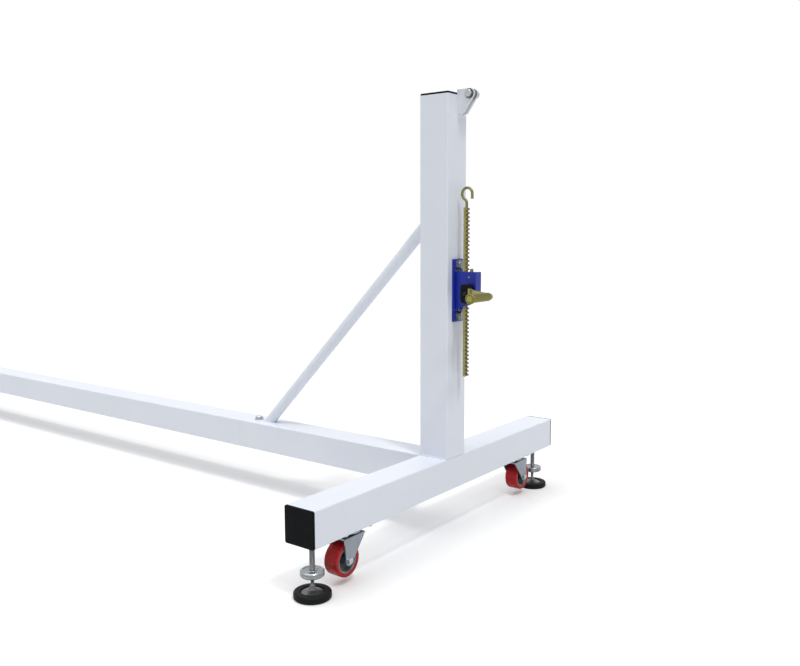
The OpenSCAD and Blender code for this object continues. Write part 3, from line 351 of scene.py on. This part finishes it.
USES = {
    white: "post_tube cross_beam beam_stub tie_beam brace_tube",
    bracket_paint: "pulley_bracket",
    black_cap: "post_cap cross_caps",
    mill_steel: "joint_sleeve weld_nuts",
    zinc: "joint_bolt joint_washer pulley_bolt pulley_nut "
          "caster_bolts axle_near axle_nut_near axle_far axle_nut_far cross_pin caster_kingpins",
    caster_steel: "caster_plates fork_near fork_far",
    stem_steel: "foot_stem_near foot_stem_far foot_stem_tie",
    disc_steel: "foot_disc_near foot_disc_far foot_disc_tie plate_bolts plate_washers",
    # painted shade: the pulley washers get this dark cup steel, so that a dark ring stands round
    # the pulley bolt's head as its shadow
    cup_steel: "foot_cup_near foot_cup_far foot_cup_tie pulley_washers",
    rubber_material(): "foot_pad_near foot_pad_far foot_pad_tie",
    tread_material(): "tread_near tread_far",
    hub_material("near"): "hub_near",
    hub_material("far"): "hub_far",
    grey_nylon: "pulley",
    bronze: "pulley_bush",
    blue: "tensioner_plate housing",
    nylon: "rack_guides crank_hub",
    yellow: "crank_arm grip_pin",
    grip_steel: "grip",
    rod: "hook plunger",
    rack_material(): "rack",
    black_steel: "pinion pinion_shaft shaft_collar hub_screw",
}
# faces that meet at less than so many degrees shade as one
CAD_SMOOTH, BEAD_SMOOTH, THREAD_SMOOTH = 32.0, 80.0, 60.0


def smooth(me, degrees):
    for p in me.polygons:
        p.use_smooth = True
    me.set_sharp_from_angle(angle=math.radians(degrees))


for mat, names in USES.items():
    for n in names.split():
        me = nodes[n].data
        me.materials.clear()
        me.materials.append(mat)
        smooth(me, CAD_SMOOTH)
left = [n for n, o in nodes.items() if not o.data.materials]
if left:
    raise RuntimeError("no material on " + ", ".join(left))


# formed details
def new_object(name, bm, mat, body, degrees):
    """A piece of the scene's own: it rides on a body and has one named material slot."""
    me = bpy.data.meshes.new(name)
    bm.normal_update()
    bm.to_mesh(me)
    bm.free()
    me.materials.append(mat)
    o = bpy.data.objects.new(name, me)
    bpy.context.scene.collection.objects.link(o)
    smooth(me, degrees)
    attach(o, body)
    return o


def turn(j, steps):
    """Cosine and sine of step j of a full turn."""
    a = 2 * math.pi * j / steps
    return math.cos(a), math.sin(a)


def skin(bm, rings, closed=False):
    """Faces from ring to ring, and a cap at each end of an open run."""
    sides = len(rings[0])
    pairs = list(zip(rings, rings[1:])) + ([(rings[-1], rings[0])] if closed else [])
    for ra, rb in pairs:
        for j in range(sides):
            bm.faces.new((ra[j], ra[(j + 1) % sides], rb[(j + 1) % sides], rb[j]))
    if not closed:
        bm.faces.new(rings[0][::-1])
        bm.faces.new(rings[-1])


BEAD_STEP, BEAD_SIDES = 0.0011, 8          # ring to ring, and faces round a ring
RIPPLE, RIPPLE_PHASE, RIPPLE_CHANCE = 0.13, 1.15, 0.05
END_SIZE, END_GROWTH = 0.35, 0.2           # a bead starts thin and grows by this a step
OFF_AXIS = Vector((0.31, 0.52, 0.8))       # no bead runs this way


def bead(name, path, closed, r, seed):
    """A weld bead: a tube along the path with the scalloped ripples of the torch."""
    rnd = random.Random(seed)
    bm = bmesh.new()
    # even steps along the path
    pts = [Vector(p) for p in path]
    if closed:
        pts.append(pts[0].copy())
    run = []
    for a, b in zip(pts, pts[1:]):
        n = max(1, int((b - a).length / BEAD_STEP))
        run += [a.lerp(b, i / n) for i in range(n)]
    if not closed:
        run.append(pts[-1])
    rings, count = [], len(run)
    for i, p in enumerate(run):
        a = run[i - 1] if (i or closed) else run[i]
        b = run[(i + 1) % count] if (i + 1 < count or closed) else run[i]
        t = (b - a).normalized()
        side = t.cross(OFF_AXIS).normalized()
        nrm = side.cross(t)
        k = 1.0 + RIPPLE * math.sin(i * RIPPLE_PHASE) + rnd.uniform(-RIPPLE_CHANCE, RIPPLE_CHANCE)
        if not closed:
            k *= min(1.0, END_SIZE + END_GROWTH * min(i, count - 1 - i))
        ring = []
        for j in range(BEAD_SIDES):
            c, s = turn(j, BEAD_SIDES)
            ring.append(bm.verts.new(p + (side * c + nrm * s) * r * k))
        rings.append(ring)
    skin(bm, rings, closed)
    bmesh.ops.recalc_face_normals(bm, faces=bm.faces)
    return new_object(name, bm, white, "frame", BEAD_SMOOTH)


WELD_R, BRACE_WELD_R = 0.0022, 0.0019
OUT = 0.0006          # a bead's middle lies this far outside the faces that it joins
SHORT = 0.003         # a bead stops this far before a tube's corner
SEED_POST, SEED_STUB, SEED_BRACE_FOOT, SEED_BRACE_HEAD = 3, 13, 31, 33
back_x = POST_X - HALF - OUT              # behind the post and the cross beam
for s, end in ((-1, "near"), (1, "far")):
    y = s * (HALF + OUT)
    reach = HALF - SHORT
    bead(f"weld_post_{end}",
         [(POST_X - reach, y, BEAM_TOP + OUT), (POST_X + reach, y, BEAM_TOP + OUT)],
         False, WELD_R, SEED_POST + s)
    bead(f"weld_stub_{end}",
         [(back_x, y, BEAM_TOP - 2 * HALF + SHORT), (back_x, y, BEAM_TOP - SHORT)],
         False, WELD_R, SEED_STUB + s)

brace_lo, brace_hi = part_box("brace_tube")
BRACE_R = (brace_hi.y - brace_lo.y) / 2
ON_CUT = 1e-5         # a vertex this near a cut's plane lies on it
RING_STEPS = 72


def middle_of_cut(along, across, at):
    """Middle of one of the brace's oval cuts, from the vertices that lie on it."""
    vertices = [v.co for v in nodes["brace_tube"].data.vertices]
    on = [co[along] for co in vertices if abs(co[across] - at) < ON_CUT]
    return (min(on) + max(on)) / 2


# slope of the brace from the middles of its two cuts
X, Z = 0, 2
foot_x = middle_of_cut(X, Z, brace_lo.z)
head_z = middle_of_cut(Z, X, brace_hi.x)
slope = math.atan2(head_z - BEAM_TOP, POST_X - HALF - foot_x)
oval_x, oval_z = BRACE_R / math.sin(slope), BRACE_R / math.cos(slope)
ring = [turn(i, RING_STEPS) for i in range(RING_STEPS)]
bead("weld_brace_foot",
     [(foot_x + (oval_x + OUT) * c, (BRACE_R + OUT) * s, BEAM_TOP + OUT) for c, s in ring],
     True, BRACE_WELD_R, SEED_BRACE_FOOT)
bead("weld_brace_head",
     [(back_x, (BRACE_R + OUT) * c, head_z + (oval_z + OUT) * s) for c, s in ring],
     True, BRACE_WELD_R, SEED_BRACE_HEAD)


# threads on the foot stems
PITCH, CREST_R, ROOT_R = 0.00175, 0.00595, 0.0050
THREAD_FROM, BALL_MID = 0.0265, 0.00425        # heights above the stem's lowest point
THREAD_SIDES, THREAD_STEPS = 28, 4             # round the stem, and along one pitch
CREST_GAIN, CREST_CUT = 1.45, 0.15             # these flatten the ridge's crest and root
FADE_LOW, FADE_HIGH = 4, 3                     # steps over which the ridge grows and ends
BALL_R, NECK_R = 0.00525, 0.0038
BALL_FROM, BALL_TO, BALL_POINTS = -0.943, 0.76, 10     # the ball's arc, cut flat below
NECK_END, SHOULDER = 0.0023, 0.0004            # depths below the start of the thread
SHOULDER_OUT = 0.0004                          # the shoulder is this much wider than the root


def threaded_stem(end, body):
    """A foot's stem in place of the plain one: ball, neck and helical ridge in one mesh."""
    node = f"foot_stem_{end}"
    lo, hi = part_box(node)
    cx, cy = (lo.x + hi.x) / 2, (lo.y + hi.y) / 2
    bm = bmesh.new()
    z0, z1 = lo.z + THREAD_FROM, hi.z

    def vert(r, j, z):
        c, s = turn(j, THREAD_SIDES)
        return bm.verts.new((cx + r * c, cy + r * s, z))

    # plain parts below the thread: ball, neck, shoulder
    outline = []
    for k in range(BALL_POINTS):
        a = BALL_FROM + k * (BALL_TO - BALL_FROM) / (BALL_POINTS - 1)
        outline.append((BALL_R * math.cos(a), lo.z + BALL_MID + BALL_R * math.sin(a)))
    outline += [(NECK_R, z0 - NECK_END), (ROOT_R + SHOULDER_OUT, z0 - SHOULDER)]
    rings = [[vert(r, j, z) for j in range(THREAD_SIDES)] for r, z in outline]
    n = int((z1 - z0) / PITCH * THREAD_STEPS)
    for i in range(n + 1):
        z = z0 + (z1 - z0) * i / n
        fade = min(1.0, i / FADE_LOW, (n - i) / FADE_HIGH)
        ring = []
        for j in range(THREAD_SIDES):
            ridge = 1 - abs(2 * ((i / THREAD_STEPS - j / THREAD_SIDES) % 1.0) - 1)
            height = min(1.0, max(0.0, CREST_GAIN * ridge - CREST_CUT)) * fade
            ring.append(vert(ROOT_R + (CREST_R - ROOT_R) * height, j, z))
        rings.append(ring)
    skin(bm, rings)
    o = new_object(f"stem_thread_{end}", bm, stem_steel, body, THREAD_SMOOTH)
    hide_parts(node)
    return o


for end in ("near", "far", "tie"):
    threaded_stem(end, f"stem_{end}")


# stage, light, camera
def seen_rays(t, hidden, seen):
    """One value for camera, glossy and transmission rays, another for the light itself."""
    path = t.nodes.new("ShaderNodeLightPath")
    out = path.outputs["Is Camera Ray"]
    for name in ("Is Glossy Ray", "Is Transmission Ray"):
        n = t.nodes.new("ShaderNodeMath")
        n.operation = "ADD"
        n.use_clamp = True
        t.links.new(out, n.inputs[0])
        t.links.new(path.outputs[name], n.inputs[1])
        out = n.outputs[0]
    r = t.nodes.new("ShaderNodeMapRange")
    r.inputs["To Min"].default_value = hidden
    r.inputs["To Max"].default_value = seen
    t.links.new(out, r.inputs["Value"])
    return r.outputs["Result"]


FLOOR_REACH = 40.0
FLOOR_DARK, FLOOR_LIGHT, FLOOR_DRIFT = 0.855, 0.865, 0.6     # two greys, and the noise between
FLOOR_LIFT = 0.18      # what the camera, metal and glass see of the floor is lifted to white


def stage_floor():
    bm = bmesh.new()
    for x, y in ((-1, -1), (1, -1), (1, 1), (-1, 1)):
        bm.verts.new((x * FLOOR_REACH, y * FLOOR_REACH, 0))
    bm.faces.new(bm.verts)
    me = bpy.data.meshes.new("floor")
    bm.to_mesh(me)
    bm.free()
    o = bpy.data.objects.new("floor", me)
    bpy.context.scene.collection.objects.link(o)
    m = bpy.data.materials.new("floor_white")
    m.use_nodes = True
    t = m.node_tree
    b = t.nodes["Principled BSDF"]
    b.inputs["Roughness"].default_value = 1.0
    b.inputs["Specular IOR Level"].default_value = 0.0
    n = t.nodes.new("ShaderNodeTexNoise")
    n.inputs["Scale"].default_value = FLOOR_DRIFT
    c = t.nodes.new("ShaderNodeMapRange")
    c.inputs["To Min"].default_value = FLOOR_DARK
    c.inputs["To Max"].default_value = FLOOR_LIGHT
    g = t.nodes.new("ShaderNodeCombineColor")
    t.links.new(n.outputs["Fac"], c.inputs["Value"])
    for k in range(3):
        t.links.new(c.outputs["Result"], g.inputs[k])
    t.links.new(g.outputs["Color"], b.inputs["Base Color"])
    b.inputs["Emission Color"].default_value = (1, 1, 1, 1)
    t.links.new(seen_rays(t, 0.0, FLOOR_LIFT), b.inputs["Emission Strength"])
    me.materials.append(m)
    return o


stage_floor()

scene = bpy.context.scene
scene.view_settings.view_transform = "Standard"

DOME = 0.215           # the world's light on the object; seen rays get white
world = bpy.data.worlds.new("studio")
scene.world = world
world.use_nodes = True
bg = world.node_tree.nodes["Background"]
bg.inputs["Color"].default_value = (1, 1, 1, 1)
world.node_tree.links.new(seen_rays(world.node_tree, DOME, 1.0), bg.inputs["Strength"])


def sun(name, toward, strength, degrees):
    """A sun that stands toward this direction and looks so many degrees wide."""
    d = bpy.data.lights.new(name, "SUN")
    d.energy = strength
    d.angle = math.radians(degrees)
    o = bpy.data.objects.new(name, d)
    o.rotation_euler = Vector(toward).to_track_quat("Z", "Y").to_euler()
    scene.collection.objects.link(o)


sun("overhead", toward=(-0.15, -0.18, 1.0), strength=1.77, degrees=66)
sun("key", toward=(1.0, -0.36, 1.98), strength=0.78, degrees=6)
sun("front", toward=(1.0, -0.5, 1.2), strength=0.34, degrees=9)

# camera: solved from the straight edges of the photograph
AZ, EL, ROLL = math.radians(37.1129), math.radians(6.9078), math.radians(-0.1705)
FOCAL_PX, PHOTO_WIDTH, SENSOR = 828.62, 800.0, 36.0
CAMERA_X, CAMERA_Y, CAMERA_Z = POST_X + 1.13172, -1.66878, 0.74782
back = Vector((math.sin(AZ) * math.cos(EL), -math.cos(AZ) * math.cos(EL), math.sin(EL)))
right = Vector((0, 0, 1)).cross(back).normalized()
up = back.cross(right)
rolled_right = math.cos(ROLL) * right + math.sin(ROLL) * up
rolled_up = -math.sin(ROLL) * right + math.cos(ROLL) * up
cam_data = bpy.data.cameras.new("camera")
cam_data.sensor_fit = "HORIZONTAL"
cam_data.sensor_width = SENSOR
cam_data.lens = FOCAL_PX * SENSOR / PHOTO_WIDTH
cam_data.clip_end = 200.0
cam = bpy.data.objects.new("camera", cam_data)
scene.collection.objects.link(cam)
rot = Matrix((rolled_right, rolled_up, back)).transposed().to_4x4()
cam.matrix_world = Matrix.Translation((CAMERA_X, CAMERA_Y, CAMERA_Z)) @ rot
scene.camera = cam
